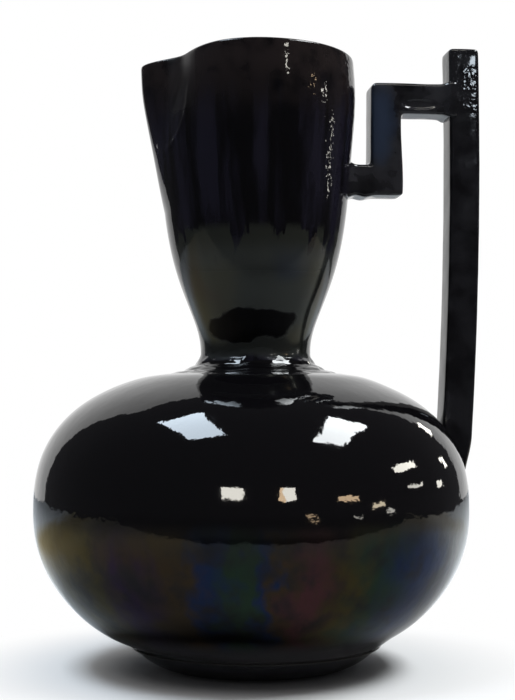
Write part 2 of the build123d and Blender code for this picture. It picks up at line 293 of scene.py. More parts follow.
class JugBodySizes(bpy.types.PropertyGroup):
    """Sizes of foot, belly, neck and spout."""

    wall: length("Wall", 5.5, "Thickness of the thrown wall")
    floor: length("Floor", 7.0, "Thickness of the bottom of the bowl")
    lean: length("Belly lean", 1.9, "How far the hand-thrown belly stands off towards the spout")
    foot_radius: length("Foot radius", 36.0, "Outer radius where the foot stands")
    foot_top_radius: length("Foot top radius", 54.8, "Outer radius of the foot under the belly")
    foot_bore: length("Foot bore", 28.0, "Radius of the hollow under the foot where it stands")
    foot_bore_top: length("Foot bore at the top", 37.0, "Radius of the hollow under the foot at the belly")
    foot_bulge: length("Foot bulge", 2.0, "How far the flank of the foot swells out of a straight cone")
    foot_rounding: length("Foot rounding", 1.4, "Rounding of the standing edges")
    bead: length("Seam bead", 0.7, "How far the slip stands out of the seam over the foot")
    bowl_fullness: share("Bowl fullness", 2.1, "Squareness of the lower belly; 2 is a circle")
    shoulder_fullness: share("Shoulder fullness", 2.5, "Squareness of the upper belly; 2 is a circle")
    collar_radius: length("Collar radius", 36.0, "Radius where the shoulder turns up to the neck")
    collar_drop: length("Collar drop", 4.7, "How far the collar lies under the neck's seat")
    oval_drop: length("Shoulder drop", 1.9, "How far the shoulder's oval ends under the neck's seat")
    seat_radius: length("Seat radius", 26.3, "Radius where the neck sits on the shoulder")
    waist_radius: length("Waist radius", 24.8, "Least radius of the neck")
    waist_rise: length("Waist rise", 7.0, "Height of the waist over the neck's seat")
    mouth_radius: length("Mouth radius", 44.9, "Largest radius of the neck")
    mouth_drop: length("Mouth drop", 14.0, "How far the largest radius lies under the rim")
    rim_radius: length("Rim radius", 44.0, "Radius of the rim")
    lip: length("Lip rounding", 1.3, "Rounding of both edges of the rim")
    rim_lift: length("Rim lift", 0.4, "How far the rim stands over the frame's")
    beak_reach: length("Beak reach", 7.6, "How far the keel of the beak stands out of the round rim")
    beak_tail: length("Beak tail", 68.0, "How far the keel runs down the neck")
    beak_droop: length("Beak droop", 3.3, "How far the rim falls towards the tip")
    beak_spread: share("Beak spread", 14.5, "Half width of the keel outside, in degrees")
    beak_bore_spread: share("Beak bore spread", 12.0, "Half width of the keel inside, in degrees")
    pinch: length("Pinch", 7.6, "How deep the cheeks are pressed in beside the keel")
    pinch_drop: length("Pinch drop", 43.0, "How far down the cheeks are pressed in")
    ridge: length("Ridge height", 0.30, "Height of the ridges round the collar")
    ridge_spacing: length("Ridge spacing", 7, "Distance between the ridges round the collar")
    crease: length("Crease height", 0.42, "Height of the slip ridge round the cheeks")
    crease_width: length("Crease width", 1.2, "Half width of the slip ridge round the cheeks")


class JugHandleSizes(bpy.types.PropertyGroup):
    """Sizes of the square-bar handle."""

    depth: length("Bar depth", 14.4, "Thickness of every bar from front to back")
    rounding: length("Bar rounding", 2.0, "Rounding of the long edges")
    outer_corner: length("Upper corner rounding", 3.0, "Rounding of the corner between drop bar and bridge")
    flare: share("Lute flare", 1.16, "How much wider a bar grows where it is stuck on")
    flare_run: length("Lute run", 3.4, "Length of the flare")
    riser_width: length("Riser width", 14.2, "Width of the riser seen from the front")
    riser_lift: length("Riser lift", 0.9, "How far the glaze stands over the riser's top")
    corner_push: length("Corner push", 1.1, "How far the lower corner of the drop bar leans out")
    dent: length("Dent", 0.9, "Depth of the dent in the front of the bridge")
    dent_x: length("Dent place", 74, "Distance of the dent from the axis")
    dent_z: length("Dent height", 253.6, "Height of the dent over the table")
    dent_wide: length("Dent half width", 8.3, "Half the width of the dent")
    dent_tall: length("Dent half height", 2.4, "Half the height of the dent")
    slip_drip: length("Slip drip", 0.9, "Depth of the drip under the stub")
    riser_bow: length("Riser bow", 2.3, "How far the middle of the riser bows out")
    riser_foot_x: length("Riser foot", 90.4, "Distance of the riser's foot from the axis")
    riser_top_x: length("Riser top", 94.7, "Distance of the riser's top from the axis")
    unevenness: length("Unevenness", 0.25, "Waviness that the hand leaves in a bar")


class JugGlazeColours(bpy.types.PropertyGroup):
    """Colours of the glaze."""

    black: colour("Black", (0.0018, 0.0016, 0.0020), "Ground of the glaze")
    plum: colour("Plum", (0.0080, 0.0071, 0.0118), "Streaks down the neck")
    haze: colour("Haze", (0.043, 0.0455, 0.042), "Pale lustre low on the neck and at the top of the belly's")
    cool: colour("Cool haze", (0.034, 0.038, 0.044), "Cool end of the neck's pale lustre")
    warm: colour("Warm haze", (0.041, 0.039, 0.037), "Warm end of the neck's pale lustre")
    # Painted reflection of the table, pale above the neck's lustre band, with a ragged edge
    pale_reflection: colour("Mist", (0.0150, 0.0155, 0.0125), "Milky glaze over the pale lustre")
    straw: colour("Straw", (0.066, 0.054, 0.022), "Warm lustre")
    umber: colour("Umber", (0.0130, 0.0095, 0.0092), "Reddish rim and beak")
    slate: colour("Slate", (0.0138, 0.0133, 0.0152), "Ground of the glaze on the handle")
    # The glaze's blue on the drop bar, painted bright as the sheen it shows there
    teal_sheen: colour("Teal", (0.0132, 0.0182, 0.0315), "Thick glaze on the handle")
    # On the seam bead this colour is a painted highlight along the seam; on the foot's worn edges it is real
    # wear
    slip: colour("Slip", (0.060, 0.056, 0.052), "Slip and worn edges that show through the glaze")
    # Sheen is also the ground low on the belly, where it is painted light in the jug's own shadow
    sheen: colour("Sheen", (0.026, 0.025, 0.027), "Plain lustre, and the glaze low down")
    violet: colour("Violet", (0.040, 0.026, 0.054), "Violet lustre")
    rust: colour("Rust", (0.058, 0.040, 0.024), "Red-brown lustre")
    blue: colour("Blue", (0.020, 0.032, 0.080), "Blue lustre")
    green: colour("Green", (0.028, 0.048, 0.032), "Green lustre")
    crimson: colour("Crimson", (0.084, 0.034, 0.038), "Red lustre")


class JugStageSettings(bpy.types.PropertyGroup):
    """Table, lamps and camera."""

    table_front: length("Table front", 310, "Distance of the table's front edge from the axis")
    backdrop_back: length("Backdrop", 1600, "Distance of the white backdrop behind the axis")
    lamp_height: length("Lamp height", 1500, "Height of the two soft lamps over the table")
    camera_distance: length("Camera distance", 618.7, "Distance of the camera from the axis")
    camera_height: length("Camera height", 115.1, "Height of the camera over the table")
    camera_turn: bpy.props.FloatProperty(name="Camera turn", default=math.radians(7), subtype="ANGLE",
                                         description="Turn of the camera towards the spout")
    room: colour("Room", (0.070, 0.070, 0.075), "Dim room in front of the table")
    floor_colour: colour("Floor", (0.80, 0.80, 0.80), "Pale floor")
    table_sides: colour("Table sides", (0.52, 0.42, 0.25), "Table beside the jug as the glaze mirrors it")
    # The table as the glaze mirrors it: a darker copy of the floor, painted shade that is deepest in front
    table_shade: colour("Table", (0.27, 0.268, 0.262), "Table as the glaze mirrors it")


# Curves and meshes

def even_curve(points, start, end, count):
    """Points of a smooth curve through others, with the way it leaves the first and reaches the last."""
    points = np.array(points, float)
    run = np.concatenate([[0], np.cumsum(np.linalg.norm(np.diff(points, axis=0), axis=1))])
    gaps = np.diff(run)
    last = len(points) - 1
    matrix = np.zeros((last + 1, last + 1))
    slopes = np.zeros((last + 1, 2))
    matrix[0, 0] = 1
    matrix[last, last] = 1
    slopes[0] = np.array(start) / np.linalg.norm(start)
    slopes[last] = np.array(end) / np.linalg.norm(end)
    for i in range(1, last):
        matrix[i, i - 1] = gaps[i]
        matrix[i, i] = 2 * (gaps[i - 1] + gaps[i])
        matrix[i, i + 1] = gaps[i - 1]
        before = (points[i] - points[i - 1]) / gaps[i - 1]
        after = (points[i + 1] - points[i]) / gaps[i]
        slopes[i] = 3 * (gaps[i] * before + gaps[i - 1] * after)
    slopes = np.linalg.solve(matrix, slopes)
    places = np.linspace(0, run[-1], count)
    k = np.clip(np.searchsorted(run, places, side="right") - 1, 0, last - 1)
    w = ((places - run[k]) / gaps[k])[:, None]
    gap = gaps[k][:, None]
    held = (2 * w**3 - 3 * w**2 + 1) * points[k] + (3 * w**2 - 2 * w**3) * points[k + 1]
    return held + gap * ((w**3 - 2 * w**2 + w) * slopes[k] + (w**3 - w**2) * slopes[k + 1])


def moved_in(line, amount):
    """A profile line moved in along its own normals."""
    slope = np.gradient(line, axis=0)
    slope /= np.linalg.norm(slope, axis=1)[:, None]
    return line - np.stack([slope[:, 1], -slope[:, 0]], 1) * amount


def arc(centre, radius, first, last, count):
    """Points of an arc in a profile, with its first and last angle in degrees."""
    angles = np.radians(np.linspace(first, last, count))
    return np.stack([centre[0] + radius * np.cos(angles), centre[1] + radius * np.sin(angles)], 1)


def ease(value, low, high):
    """0 under low, 1 over high, and smooth between."""
    t = np.clip((value - low) / (high - low), 0, 1)
    return t * t * (3 - 2 * t)


def add(primitive, name, scale, **settings):
    """Adds a primitive by itself at its size and place, and leaves it all selected in edit mode."""
    bpy.ops.object.select_all(action="DESELECT")
    primitive(size=1, **settings)
    piece = bpy.context.object
    piece.name = name
    piece.data.name = name
    piece.scale = scale
    bpy.ops.object.transform_apply(location=True, rotation=True, scale=True)
    bpy.ops.object.mode_set(mode="EDIT")
    bpy.ops.mesh.select_all(action="SELECT")
    return piece


def turned(name, profile, steps):
    """A body that a profile of radii and heights sweeps about the axis."""
    piece = add(bpy.ops.mesh.primitive_plane_add, name, (MM, MM, 1))
    bpy.ops.mesh.merge(type="CENTER")
    bpy.ops.transform.translate(value=(profile[0][0], 0, profile[0][1]))
    for step in np.diff(profile, axis=0):
        bpy.ops.mesh.extrude_vertices_move(TRANSFORM_OT_translate={"value": (step[0], 0, step[1])})
    bpy.ops.mesh.select_all(action="SELECT")
    bpy.ops.mesh.spin(steps=steps, angle=2 * math.pi, center=(0, 0, 0), axis=(0, 0, 1))
    bpy.ops.mesh.select_all(action="SELECT")
    bpy.ops.mesh.remove_doubles(threshold=MERGE_DISTANCE)
    bpy.ops.mesh.normals_make_consistent(inside=False)
    bpy.ops.object.mode_set(mode="OBJECT")
    return piece


def reshape(piece, rule):
    """Moves every vertex of a piece to where a rule on an array of points puts it."""
    points = np.empty(3 * len(piece.data.vertices))
    piece.data.vertices.foreach_get("co", points)
    piece.data.vertices.foreach_set("co", rule(points.reshape(-1, 3)).ravel())
    piece.data.update()


def apply_modifier(piece, kind, **settings):
    """Adds a modifier, sets it and applies it."""
    modifier = piece.modifiers.new(kind.title(), kind)
    for key, value in settings.items():
        setattr(modifier, key, value)
    bpy.context.view_layer.objects.active = piece
    bpy.ops.object.modifier_apply(modifier=modifier.name)


def select(piece, kind, elements, test):
    """Selects those faces or edges of a piece that pass a test, in edit mode."""
    bpy.ops.mesh.select_mode(type=kind)
    bpy.ops.mesh.select_all(action="DESELECT")
    bpy.ops.object.mode_set(mode="OBJECT")
    for element in getattr(piece.data, elements):
        element.select = bool(test(element))
    bpy.ops.object.mode_set(mode="EDIT")


def select_faces(piece, test):
    """Selects the faces whose centre and normal pass a test."""
    select(piece, "FACE", "polygons", lambda face: test(face.center, face.normal))


def select_edges(piece, test):
    """Selects the edges whose two ends pass a test."""
    select(piece, "EDGE", "edges", lambda edge: test(*(piece.data.vertices[end].co for end in edge.vertices)))


def extrude(x, z):
    """Draws the selected face out in the plane of the handle."""
    bpy.ops.mesh.extrude_region_move(TRANSFORM_OT_translate={"value": (x, 0, z)})


def finish(piece, material, slot, *nodes, angle=40):
    """Shades a piece, gives it its glaze and puts it in the frame in place of its nodes."""
    bpy.ops.object.select_all(action="DESELECT")
    piece.select_set(True)
    bpy.context.view_layer.objects.active = piece
    bpy.ops.object.shade_smooth_by_angle(angle=math.radians(angle))
    piece.data.materials.clear()
    piece.data.materials.append(material)
    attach(piece, "root")
    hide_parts(*nodes)


# Profile lines

def oval(angle, fullness):
    """A point on a unit oval; fullness 2 is a circle, and more is squarer."""
    return np.array([max(0, math.cos(angle)) ** (2 / fullness), math.sin(angle) ** (2 / fullness)])


def bowl_line(sizes, count):
    """Outside of the lower belly, from the edge of the base to the widest circle."""
    fullness = sizes.bowl_fullness
    start = math.acos((BASE_RADIUS / BELLY_RADIUS) ** (fullness / 2))
    depth = (BELLY_Z - BASE_Z) / math.sin(start) ** (2 / fullness)
    points = [oval(start * part, fullness) * (BELLY_RADIUS, -depth) + (0, BELLY_Z) for part in BOWL_SHARES]
    return even_curve(points, points[1] - points[0], (0, 1), count)


def seat_slope(sizes):
    """The way the outside runs where the neck sits on the shoulder."""
    return (sizes.waist_radius - sizes.collar_radius, sizes.waist_rise + sizes.collar_drop)


def shoulder_line(sizes, count):
    """Outside of the upper belly, from the widest circle to the neck's seat."""
    height = SEAT_Z - sizes.oval_drop - BELLY_Z
    points = []
    for degrees in SHOULDER_ANGLES:
        unit = oval(math.radians(degrees), sizes.shoulder_fullness)
        points.append(unit * (BELLY_RADIUS, height) + (0, BELLY_Z))
    points.append((sizes.collar_radius, SEAT_Z - sizes.collar_drop))
    points.append((sizes.seat_radius, SEAT_Z))
    return even_curve(points, (0, 1), seat_slope(sizes), count)


def neck_line(sizes, count):
    """Outside of the neck, from its seat through the waist to the rim."""
    waist_z = SEAT_Z + sizes.waist_rise
    mouth_z = RIM_Z - sizes.mouth_drop
    points = [(sizes.seat_radius, SEAT_Z), (sizes.waist_radius, waist_z)]
    for rise, flare in FLARE_STATIONS:
        radius = sizes.waist_radius + (sizes.mouth_radius - sizes.waist_radius) * flare
        points.append((radius, waist_z + (mouth_z - waist_z) * rise))
    points.append((sizes.mouth_radius, mouth_z))
    points.append((sizes.rim_radius, RIM_Z))
    rim_slope = (sizes.rim_radius - sizes.mouth_radius, sizes.mouth_drop)
    return even_curve(points, seat_slope(sizes), rim_slope, count)


def lean_over(sizes):
    """The rule that stands the belly a little towards the spout, with foot and neck left in line."""
    def rule(points):
        height = points[:, 2]
        start = ease(height, BASE_Z, BASE_Z + LEAN_START)
        end = ease(height, SEAT_Z - LEAN_END[0], SEAT_Z - LEAN_END[1])
        points[:, 0] -= sizes.lean * start * (1 - end)
        return points
    return rule


def ridged(sizes):
    """The rule that leaves the uneven ridges of the potter's fingers round the collar and the waist."""
    line = np.concatenate([shoulder_line(sizes, RIDGE_LINE_POINTS), neck_line(sizes, RIDGE_LINE_POINTS)[1:]])

    def rule(points):
        x, y, z = points.T
        radius = np.hypot(x, y)
        turn = np.arctan2(y, x)
        raised = 1 - ease(np.interp(z, line[:, 1], line[:, 0]) - radius, *RIDGE_SKIN)
        raised *= (1 - ease(radius, *RIDGE_RADIUS)) * (1 - ease(z, SEAT_Z, SEAT_Z + RIDGE_RISE))
        sway = sum(height * np.sin(count * turn + shift) for count, height, shift in RIDGE_SWAY)
        wave = np.sin((z - RIDGE_LEAN * radius + sway) * 2 * math.pi / sizes.ridge_spacing)
        lift = sizes.ridge * raised * wave * math.sqrt(0.5)
        points[:, 0] += lift * x / radius
        points[:, 1] += lift * y / radius
        points[:, 2] += lift
        return points
    return rule


def crease_gap(angle, height, radius):
    """Least distance from points of the neck to the crease round the cheeks, in metres along the surface."""
    line = np.array(CREASE)
    line = np.stack([np.radians(line[:, 0]) * radius, RIM_Z - line[:, 1]], 1)
    across = np.radians(np.abs(angle)) * radius
    gap = np.full(len(angle), 1.0)
    for first, last in zip(line[:-1], line[1:]):
        step = last - first
        t = np.clip(((across - first[0]) * step[0] + (height - first[1]) * step[1]) / (step @ step), 0, 1)
        gap = np.minimum(gap, np.hypot(across - first[0] - t * step[0], height - first[1] - t * step[1]))
    return gap


def beaked(sizes):
    """The rule that draws the round neck out into the beak, presses its cheeks in and lets its rim droop."""
    line = neck_line(sizes, BEAK_LINE_POINTS)

    def rule(points):
        x, y, z = points.T
        radius = np.hypot(x, y)
        angle = np.degrees(np.arctan2(y, -x))
        outside = np.interp(z, line[:, 1], line[:, 0])
        depth = np.clip((outside - radius) / sizes.wall, 0, 1)
        drop = RIM_Z - z
        keel = sizes.beak_reach * np.clip(1 - drop / sizes.beak_tail, 0, 1)
        pinch = sizes.pinch * np.clip(1 - drop / sizes.pinch_drop, 0, 1)
        spread = sizes.beak_spread + (sizes.beak_bore_spread - sizes.beak_spread) * depth
        edge = np.interp(drop, *np.transpose(CHEEK))
        ridge = (keel + pinch) * np.exp(-((angle / spread) ** 2))
        hollow = pinch * (1 - ease(np.abs(angle), edge * CHEEK_FULL, edge))
        gap = crease_gap(angle, z, sizes.rim_radius)
        slip = sizes.crease * np.exp(-((gap / sizes.crease_width) ** 2)) * (1 - depth)
        slip *= ease(drop, *CREASE_START)
        grown = (radius + ridge - hollow + slip) / radius
        tip = np.clip(x * grown / BEAK_TIP_X, 0, DROOP_LIMIT)
        points[:, 0] = x * grown
        points[:, 1] = y * grown
        points[:, 2] = z + (sizes.rim_lift - sizes.beak_droop * tip**2) * ease(z, RIM_Z - DROOP_RUN, RIM_Z)
        return points
    return rule


# Shader maths

def opaque(value):
    """A colour with full alpha."""
    return (*value, 1.0)


class Wire:
    """An output socket of a node tree. Arithmetic on it adds Math nodes."""

    def __init__(self, tree, socket=None):
        self.tree = tree
        self.socket = socket

    def node(self, kind, settings=None, inputs=None, output=0):
        """Adds a node, sets it, then sets or links its sockets, and gives one of its outputs."""
        made = self.tree.nodes.new(kind)
        for key, value in (settings or {}).items():
            if key == "stops":
                fill_ramp(made.color_ramp, value)
            else:
                setattr(made, key, value)
        for key, value in (inputs or {}).items():
            socket = made.inputs[key]
            if isinstance(value, Wire):
                self.tree.links.new(value.socket, socket)
            else:
                socket.default_value = value
        return Wire(self.tree, made.outputs[output])

    def math(self, operation, *values):
        """Adds a Math node on this wire and others."""
        inputs = dict(enumerate((self, *values)))
        return self.node("ShaderNodeMath", {"operation": operation}, inputs)

    def __add__(self, other):
        return self.math("ADD", other)

    __radd__ = __add__

    def __mul__(self, other):
        return self.math("MULTIPLY", other)

    __rmul__ = __mul__

    def __sub__(self, other):
        return self.math("SUBTRACT", other)

    def __rsub__(self, other):
        return self.node("ShaderNodeMath", {"operation": "SUBTRACT"}, {0: other, 1: self})

    def __truediv__(self, other):
        return self.math("DIVIDE", other)

    def between(self, low, high):
        """0 where this is under low, 1 where it is over high, and smooth between."""
        settings = {"interpolation_type": "SMOOTHSTEP"}
        return self.node("ShaderNodeMapRange", settings, {"Value": self, "From Min": low, "From Max": high})

    def within(self, start, low, high, end):
        """1 where this lies from low to high, 0 outside start and end, and smooth between."""
        return self.between(start, low) * self.between(end, high)

    def mixed(self, first, second):
        """A colour mixed by this factor from two, each a wire or a plain colour."""
        first, second = (value if isinstance(value, Wire) else opaque(value) for value in (first, second))
        return self.node("ShaderNodeMix", {"data_type": "RGBA"}, {"Factor": self, 6: first, 7: second}, 2)


def fill_ramp(ramp, stops):
    """Gives a colour ramp its stops."""
    while len(ramp.elements) < len(stops):
        ramp.elements.new(1.0)
    for element, (place, value) in zip(ramp.elements, stops):
        element.position = place
        element.color = value


def ramp(factor, stops, colours):
    """A colour that runs through the named colours of a list of stops as a wire goes from 0 to 1."""
    settings = {"stops": [(at, opaque(getattr(colours, name))) for at, name in stops]}
    return factor.node("ShaderNodeValToRGB", settings, {0: factor})


def fresh_tree(name):
    """A new material, its node tree as a wire and the shader that its output shows."""
    material = bpy.data.materials.new(name)
    material.use_nodes = True
    tree = material.node_tree
    return material, Wire(tree), tree.nodes["Principled BSDF"]


class Place:
    """Where a point of a piece lies, as wires that the materials read."""

    def __init__(self, root):
        self.point = root.node("ShaderNodeTexCoord", output="Object")
        axes = (root.node("ShaderNodeSeparateXYZ", None, {0: self.point}, axis) for axis in "XYZ")
        self.x, self.y, self.z = axes
        self.turn = self.x.math("ARCTAN2", self.y * -1) / math.pi
        self.radius = (self.x * self.x + self.y * self.y).math("SQRT")

    def noise(self, scale, detail=2.0, rough=0.5, squeeze=(1, 1, 1)):
        """A noise of about 0 to 1 with so many waves a metre, squeezed along the axes."""
        mapped = self.point.node("ShaderNodeMapping", None, {"Vector": self.point, "Scale": squeeze})
        inputs = {"Vector": mapped, "Scale": scale, "Detail": detail, "Roughness": rough}
        return self.point.node("ShaderNodeTexNoise", {"normalize": True}, inputs, "Fac")

    def streaks(self, scale, down):
        """A noise that runs down the jug: so many waves a metre about the axis, fewer along it."""
        return self.noise(scale, 3.0, 0.55, (1, 1, down))


def link(wire, shader, socket):
    """Feeds a wire to a socket of a shader."""
    wire.tree.links.new(wire.socket, shader.inputs[socket])


def glaze_surface(shader, place, peel, sway=0.0, lumps=None):
    """Ripples of the glaze: an orange peel all over, a long sway, and lumps where their mask is up."""
    relief = (place.noise(240) * 0.60 + place.noise(720, 1.0) * 0.40) * peel
    relief = relief + place.noise(90) * sway
    if lumps is not None:
        relief = relief + place.noise(360, 1.5) * lumps
    inputs = {"Strength": 1.0, "Distance": 1 * MM, "Height": relief}
    link(place.point.node("ShaderNodeBump", None, inputs, "Normal"), shader, "Normal")


def belly_glaze(colours):
    """Black glaze under an oily lustre, whose colours follow one another round the belly, over a ground
    painted paler low down as light in the jug's own shadow.
    """
    material, root, shader = fresh_tree("belly_glaze")
    place = Place(root)
    drift = (place.streaks(75, 0.30) - 0.5) * 0.13 + (place.noise(95, 3.0, 0.55) - 0.5) * 0.09
    order = (place.turn + LUSTRE_FRONT + drift).math("PINGPONG", 1.0)
    lustre = ramp(order, LUSTRE, colours)
    lustre = (place.z.between(*LUSTRE_HAZE) * 0.5).mixed(lustre, colours.haze)
    bright = 0.92 + place.z.between(*LUSTRE_BRIGHT) * 0.45
    lustre = root.node("ShaderNodeVectorMath", {"operation": "SCALE"}, {0: lustre, "Scale": bright})
    patch = place.noise(75, 3.0, 0.6).between(0.28, 0.60) * place.z.between(*LUSTRE_PATCHES)
    tint = (0.15 + patch * 0.85).mixed(colours.sheen, lustre)
    film = place.z.within(*LUSTRE_BAND)
    # Low on the belly the ground turns paler: painted light over the band that the jug's own shadow darkens
    ground = place.z.between(*GROUND_PALE).mixed(colours.black, colours.sheen)
    link((film * film * film).mixed(ground, tint), shader, "Base Color")
    link(film, shader, "Metallic")
    link(0.035 + place.noise(45).between(0.5, 0.8) * 0.02 + film * 0.04, shader, "Roughness")
    shader.inputs["Specular IOR Level"].default_value = 0.4
    glaze_surface(shader, place, peel=0.034, sway=0.16)
    return material


def neck_glaze(colours):
    """Black glaze with plum streaks above, a pale lustre over the waist with a painted pale reflection of the
    table above it, a painted dark reflection at the front of the waist, and lumps towards the handle.
    """
    material, root, shader = fresh_tree("neck_glaze")
    place = Place(root)
    streak = place.streaks(95, 0.10)
    veil = streak.between(0.42, 0.62) * place.z.between(*PLUM_TOP)
    upper = veil.mixed(colours.black, colours.plum)
    rim = place.z.between(*RIM_TONE) * place.noise(90).between(0.25, 0.62)
    upper = rim.mixed(upper, colours.umber)
    # A pale reflection of the table is painted under a ragged, drip-like edge, down to the lustre band
    drip = place.streaks(120, 0.14).between(0.50, 0.70) * REFLECTION_TEETH
    low = (REFLECTION_TOP - drip - place.z).between(*REFLECTION_EDGE)
    upper = (low * place.z.between(*REFLECTION_FOOT)).mixed(upper, colours.pale_reflection)
    wander = (place.noise(70) - 0.5) * BAND_WANDER
    # Painted dark reflection of the shoulder: an oval at the front of the waist, black, metallic and dull
    side = (place.turn + DARK_REFLECTION_TURN) / DARK_REFLECTION_HALF_TURN
    level = (place.z + wander * 0.9 - side * DARK_REFLECTION_TILT - DARK_REFLECTION_Z) / DARK_REFLECTION_HALF
    ragged = (place.noise(160) - 0.5) * 0.9
    dark_reflection = (side * side + level * level + ragged).between(1.15, 0.85)
    upper = (dark_reflection * 0.85).mixed(upper, colours.black)
    film = place.z.between(*BAND_TOP) * (place.z + wander).between(*BAND_FOOT) * (1 - dark_reflection)
    tone = place.noise(34) - place.x * 2.5
    tone = 0.5 + (tone - 0.5) * place.z.between(*BAND_TONE)
    link(film.mixed(upper, ramp(tone, PALE_LUSTRE, colours)), shader, "Base Color")
    link(film * film * 0.8 + dark_reflection * 0.7, shader, "Metallic")
    front = (side * side).between(2.4, 0.6)
    fold = place.x.within(*FOLD_X) * place.z.between(*FOLD_Z)
    dull = film * (0.05 + front * 0.14) + dark_reflection * 0.25 + fold * 0.35
    link(0.04 + dull + streak.between(0.5, 0.8) * 0.02, shader, "Roughness")
    shader.inputs["Specular IOR Level"].default_value = 0.22
    lumps = place.x.between(*LUMPS_X) * place.z.between(*LUMPS_Z) * 0.17
    glaze_surface(shader, place, peel=0.022, sway=0.12, lumps=lumps)
    return material


def handle_glaze(colours):
    """Black glaze on the bars, with the glaze's blue and a painted sheen on the drop bar, and lumpy at the
    joint and near the riser's top.
    """
    material, root, shader = fresh_tree("handle_glaze")
    place = Place(root)
    cloud = place.noise(70, 3.0, 0.6).between(0.36, 0.66) * (1 - place.x.between(*CLOUD_END_X) * 0.6)
    ground = cloud.mixed(colours.black, colours.slate)
    # The drop bar's blue is partly the glaze's colour and partly a painted sheen
    across = (place.x - SHEEN_X) / SHEEN_WIDE
    along = (place.z - SHEEN_Z) / SHEEN_TALL
    blue_sheen = (across * across + along * along + place.noise(110) - 0.5).between(1.2, 0.1)
    link(blue_sheen.mixed(ground, colours.teal_sheen), shader, "Base Color")
    link(0.06 + place.noise(120).between(0.45, 0.8) * 0.08, shader, "Roughness")
    shader.inputs["Specular IOR Level"].default_value = 0.35
    specks = place.x.between(*SPECKS_X) * place.z.within(*SPECKS_Z) * (1 - place.z.within(*SPECKS_GAP))
    joint = place.x.within(*JOINT_X) * place.z.between(*JOINT_Z)
    glaze_surface(shader, place, peel=0.040, sway=0.10, lumps=specks * 0.28 + joint * 0.12)
    return material


def foot_glaze(colours, name, ground):
    """Black glaze on the foot, a little duller where it wears, over a ground of the given colour; on the seam
    bead that ground is a pale colour painted as a highlight.
    """
    material, root, shader = fresh_tree(name)
    place = Place(root)
    worn = place.z.between(*WORN_Z) * place.noise(240, 2.0, 0.6).between(0.35, 0.65)
    link(worn.mixed(ground, colours.slip), shader, "Base Color")
    link(0.06 + worn * 0.4 + place.noise(90).between(0.4, 0.8) * 0.05, shader, "Roughness")
    glaze_surface(shader, place, peel=0.030)
    return material


# Operators

class JUG_OT_foot(bpy.types.Operator):
    """Turns the tapered foot ring and the bead of slip over it"""

    bl_idname = "jug.foot"
    bl_label = "Foot"

    def execute(self, context):
        sizes = context.scene.jug_body
        colours = context.scene.jug_glaze
        rounding = sizes.foot_rounding
        sharp = rounding * OUTER_EDGE
        inset = rounding * OUTER_INSET
        low = np.array([sizes.foot_radius, 0])
        high = np.array([sizes.foot_top_radius, FOOT_TOP_Z])
        slope = (high - low) / np.linalg.norm(high - low)
        swell = np.array([slope[1], -slope[0]]) * sizes.foot_bulge
        parts = np.linspace(0, 1, FLANK_POINTS)[:, None]
        flank = low + (high - low) * parts + swell * 4 * parts * (1 - parts)
        profile = np.concatenate([
            arc((sizes.foot_bore + rounding, rounding), rounding, 180, 270, EDGE_POINTS),
            arc((sizes.foot_radius - inset, sharp), sharp, 270, 320, EDGE_POINTS),
            flank[1:],
            [(sizes.foot_bore_top, FOOT_TOP_Z), (sizes.foot_bore, rounding)],
        ])
        ring = turned("foot_ring_glazed", profile, BODY_STEPS)
        finish(ring, foot_glaze(colours, "foot_glaze", colours.sheen), "black_glaze", "foot_ring")
        middle = (FOOT_TOP_Z + BASE_Z) / 2
        half = (BASE_Z - FOOT_TOP_Z) / 2
        edge = BASE_RADIUS - sizes.bead
        bead = arc((edge, middle), half, -90, 90, BEAD_POINTS)
        bead[:, 0] = edge + (bead[:, 0] - edge) * 2 * sizes.bead / half
        inner = [(sizes.foot_bore_top, FOOT_TOP_Z)]
        profile = np.concatenate([inner, bead, [(sizes.foot_bore_top, BASE_Z)], inner])
        # The bead is coloured pale all over: a painted highlight along the seam
        slip = turned("foot_seam_bead", profile, BODY_STEPS)
        finish(slip, foot_glaze(colours, "seam_glaze", colours.slip), "glazed_slip", "foot_lute")
        return {"FINISHED"}


class JUG_OT_belly(bpy.types.Operator):
    """Turns the lower bowl and the shoulder of the belly"""

    bl_idname = "jug.belly"
    bl_label = "Belly"

    def execute(self, context):
        sizes = context.scene.jug_body
        material = belly_glaze(context.scene.jug_glaze)
        outside = bowl_line(sizes, BOWL_POINTS)
        inside = moved_in(outside, sizes.wall)
        floor_z = BASE_Z + sizes.floor
        inside = inside[inside[:, 1] > floor_z][::-INSIDE_STEP]
        floor_radius = inside[-1][0] - FLOOR_INSET
        profile = np.concatenate([
            [(0, BASE_Z), (BASE_RADIUS / 2, BASE_Z)],
            outside,
            inside,
            [(floor_radius, floor_z), (0, floor_z)],
        ])
        bowl = turned("lower_bowl_glazed", profile, BODY_STEPS)
        reshape(bowl, lean_over(sizes))
        finish(bowl, material, "black_glaze", "lower_bowl", "belly_lute")
        outside = shoulder_line(sizes, SHOULDER_POINTS)
        inside = moved_in(outside, sizes.wall)[::-SHOULDER_INSIDE_STEP]
        profile = np.concatenate([outside, inside, outside[:1]])
        shoulder = turned("shoulder_glazed", profile, BODY_STEPS)
        reshape(shoulder, ridged(sizes))
        reshape(shoulder, lean_over(sizes))
        finish(shoulder, material, "black_glaze", "shoulder", "neck_lute")
        return {"FINISHED"}


